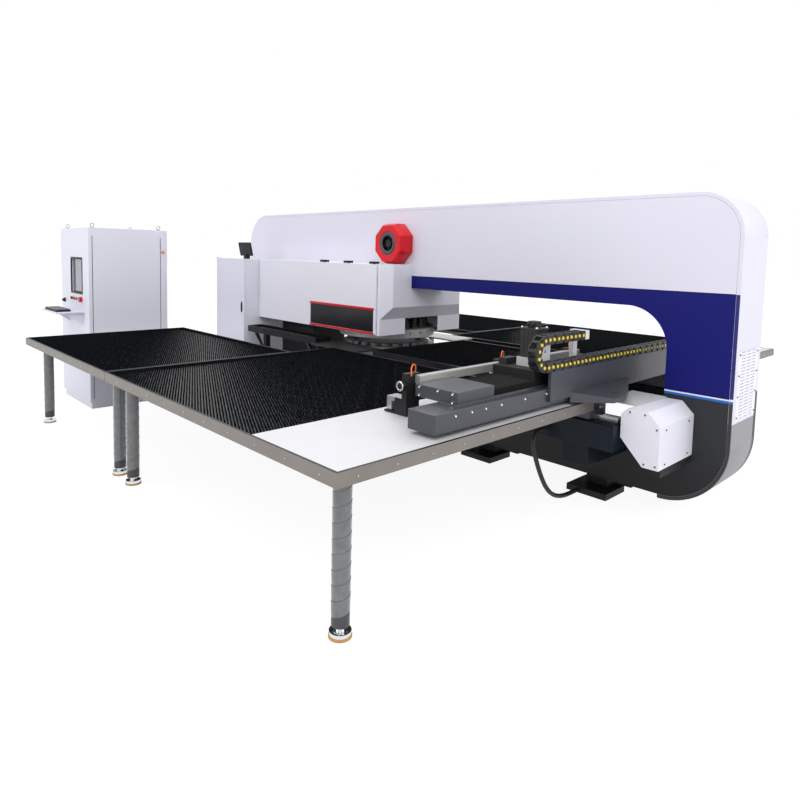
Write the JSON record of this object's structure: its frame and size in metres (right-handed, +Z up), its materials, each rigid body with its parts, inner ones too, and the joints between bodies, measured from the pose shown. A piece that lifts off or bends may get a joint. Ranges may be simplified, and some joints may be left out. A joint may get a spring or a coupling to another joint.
{
  "type": "turret punch press",
  "caption": "Closed-frame servo turret punch press with a travelling clamp beam, brush tables on legs and a free-standing control cabinet.",
  "frame": {"origin": "on the floor at the middle of the footprint", "axes": "+X along the clamp beam, away from the front tables; +Y along the bridge towards the control cabinet; +Z up"},
  "size_m": [6.234, 7.093, 2.342],
  "materials": {
    "frame_steel": "painted dark grey steel",
    "white_panel": "satin white powder coat",
    "blue_panel": "satin dark blue powder coat",
    "grey_panel": "satin anthracite powder coat",
    "cabinet_grey": "fine textured light grey powder coat",
    "red_cover": "gloss red paint",
    "dark_plastic": "matt black plastic",
    "machined_steel": "ground steel",
    "tool_brass": "bright tool canisters",
    "table_edge": "bead-blasted edge profile",
    "galvanised": "galvanised sheet",
    "bristle": "black nylon bristles",
    "leg_grey": "grey painted tube",
    "ring_rubber": "tan rubber",
    "bed_blue": "blue grey machine paint",
    "beam_grey": "anthracite powder coat",
    "bellows_black": "coated cloth",
    "chain_black": "black nylon",
    "hose_orange": "orange air hose",
    "hose_black": "black conduit",
    "jaw_white": "plated steel",
    "window": "dark tinted sheet",
    "screen": "screen glass",
    "button_red": "red plastic",
    "button_green": "green plastic"
  },
  "bodies": {
    "frame": {"o_frame": "frame_steel", "upper_cladding": "white_panel", "blue_cladding": "blue_panel", "lower_cladding": "grey_panel", "edge_cover": "white_panel", "vent_panel": "white_panel", "frame_feet": "frame_steel", "servo_cover": "red_cover", "servo_fan": "dark_plastic", "ram_housing": "machined_steel", "turret_shafts": "machined_steel", "guard_shells": "white_panel", "side_cabinet": "cabinet_grey", "guard_screen": "dark_plastic", "table_frames": "table_edge", "side_brushes": "bristle", "centre_brushes": "bristle", "plain_plates": "galvanised", "table_legs": "leg_grey", "leg_feet": "machined_steel", "foot_rings": "ring_rubber", "y_bed": "bed_blue", "y_rails": "machined_steel", "y_motor_cover": "white_panel", "motor_bracket": "frame_steel", "conduit": "hose_black", "control_cabinet": "cabinet_grey", "control_panel": "cabinet_grey", "control_screen": "screen", "keyboard_tray": "cabinet_grey", "keyboard": "dark_plastic", "lifting_eyes": "machined_steel"},
    "ram": {"ram": "machined_steel"},
    "upper_turret": {"upper_turret": "machined_steel", "punch_tools": "tool_brass"},
    "lower_turret": {"lower_turret": "machined_steel", "die_set": "machined_steel"},
    "guard_door": {"guard_door": "white_panel", "guard_window": "window"},
    "side_door": {"side_door": "cabinet_grey"},
    "control_door": {"control_door": "cabinet_grey"},
    "ball_screw": {"ball_screw": "machined_steel"},
    "beam": {"beam_box": "beam_grey", "chain_tray": "beam_grey", "way_cover": "bellows_black", "saddle": "beam_grey", "chain_lower": "chain_black"},
    "carriage": {"carriage": "table_edge", "carriage_motor": "dark_plastic", "clamp_bar": "table_edge", "clamp_bodies": "dark_plastic", "chain_upper": "chain_black", "air_hoses": "hose_orange"},
    "chain_bend": {"chain_bend": "chain_black"},
    "jaw_1": {"clamp_jaw_1": "jaw_white"},
    "jaw_2": {"clamp_jaw_2": "jaw_white"},
    "jaw_3": {"clamp_jaw_3": "jaw_white"},
    "button_black": {"button_black": "dark_plastic"},
    "button_red": {"button_red": "button_red"},
    "button_green": {"button_green": "button_green"},
    "stop_button": {"stop_button": "button_red"}
  },
  "joints": [
    {"name": "y_axis", "type": "slide", "parent": "frame", "child": "beam", "axis": [0, 1, 0], "range_m": [0, 1.5]},
    {"name": "x_axis", "type": "slide", "parent": "beam", "child": "carriage", "axis": [1, 0, 0], "range_m": [0, 2.5], "deforming": ["way_cover", "chain_lower", "chain_upper"]},
    {"name": "chain_roll", "type": "slide", "parent": "beam", "child": "chain_bend", "axis": [1, 0, 0], "range_m": [0, 1.25]},
    {"name": "screw_turn", "type": "hinge", "parent": "frame", "child": "ball_screw", "pos_m": [-0.46, -2.2365, 0.625], "axis": [0, 1, 0], "range_deg": [0, 13500]},
    {"name": "upper_index", "type": "hinge", "parent": "frame", "child": "upper_turret", "pos_m": [0, 0.1935, 1], "axis": [0, 0, 1], "continuous": true},
    {"name": "lower_index", "type": "hinge", "parent": "frame", "child": "lower_turret", "pos_m": [0, 0.1935, 0.85], "axis": [0, 0, 1], "continuous": true},
    {"name": "ram_stroke", "type": "slide", "parent": "frame", "child": "ram", "axis": [0, 0, -1], "range_m": [0, 0.037]},
    {"name": "guard_door_hinge", "type": "hinge", "parent": "frame", "child": "guard_door", "pos_m": [-0.618, 0.2485, 1.769], "axis": [0, 1, 0], "range_deg": [0, 85]},
    {"name": "side_door_hinge", "type": "hinge", "parent": "frame", "child": "side_door", "pos_m": [-0.8115, 2.6365, 0.9], "axis": [0, 0, -1], "range_deg": [0, 50]},
    {"name": "control_door_hinge", "type": "hinge", "parent": "frame", "child": "control_door", "pos_m": [-1.5535, 3.5325, 1], "axis": [0, 0, 1], "range_deg": [0, 110]},
    {"name": "jaw_1_pivot", "type": "hinge", "parent": "carriage", "child": "jaw_1", "pos_m": [-2.166, -2.3215, 0.976], "axis": [1, 0, 0], "range_deg": [0, 15]},
    {"name": "jaw_2_pivot", "type": "hinge", "parent": "carriage", "child": "jaw_2", "pos_m": [-1.296, -2.3215, 0.976], "axis": [1, 0, 0], "range_deg": [0, 15]},
    {"name": "jaw_3_pivot", "type": "hinge", "parent": "carriage", "child": "jaw_3", "pos_m": [-0.426, -2.3215, 0.976], "axis": [1, 0, 0], "range_deg": [0, 15]},
    {"name": "button_black_press", "type": "slide", "parent": "frame", "child": "button_black", "axis": [1, 0, 0], "range_m": [0, 0.004], "stiffness_N_per_m": 400},
    {"name": "button_red_press", "type": "slide", "parent": "frame", "child": "button_red", "axis": [1, 0, 0], "range_m": [0, 0.004], "stiffness_N_per_m": 400},
    {"name": "button_green_press", "type": "slide", "parent": "frame", "child": "button_green", "axis": [1, 0, 0], "range_m": [0, 0.004], "stiffness_N_per_m": 400},
    {"name": "stop_button_press", "type": "slide", "parent": "frame", "child": "stop_button", "axis": [1, 0, 0], "range_m": [0, 0.004], "stiffness_N_per_m": 400}
  ],
  "couplings": [
    {"joint": "chain_roll", "follows": "x_axis", "ratio": 0.5},
    {"joint": "screw_turn", "follows": "y_axis", "rad_per_m": 157.08},
    {"joint": "lower_index", "follows": "upper_index", "ratio": 1},
    {"joint": "jaw_2_pivot", "follows": "jaw_1_pivot", "ratio": 1},
    {"joint": "jaw_3_pivot", "follows": "jaw_1_pivot", "ratio": 1}
  ]
}
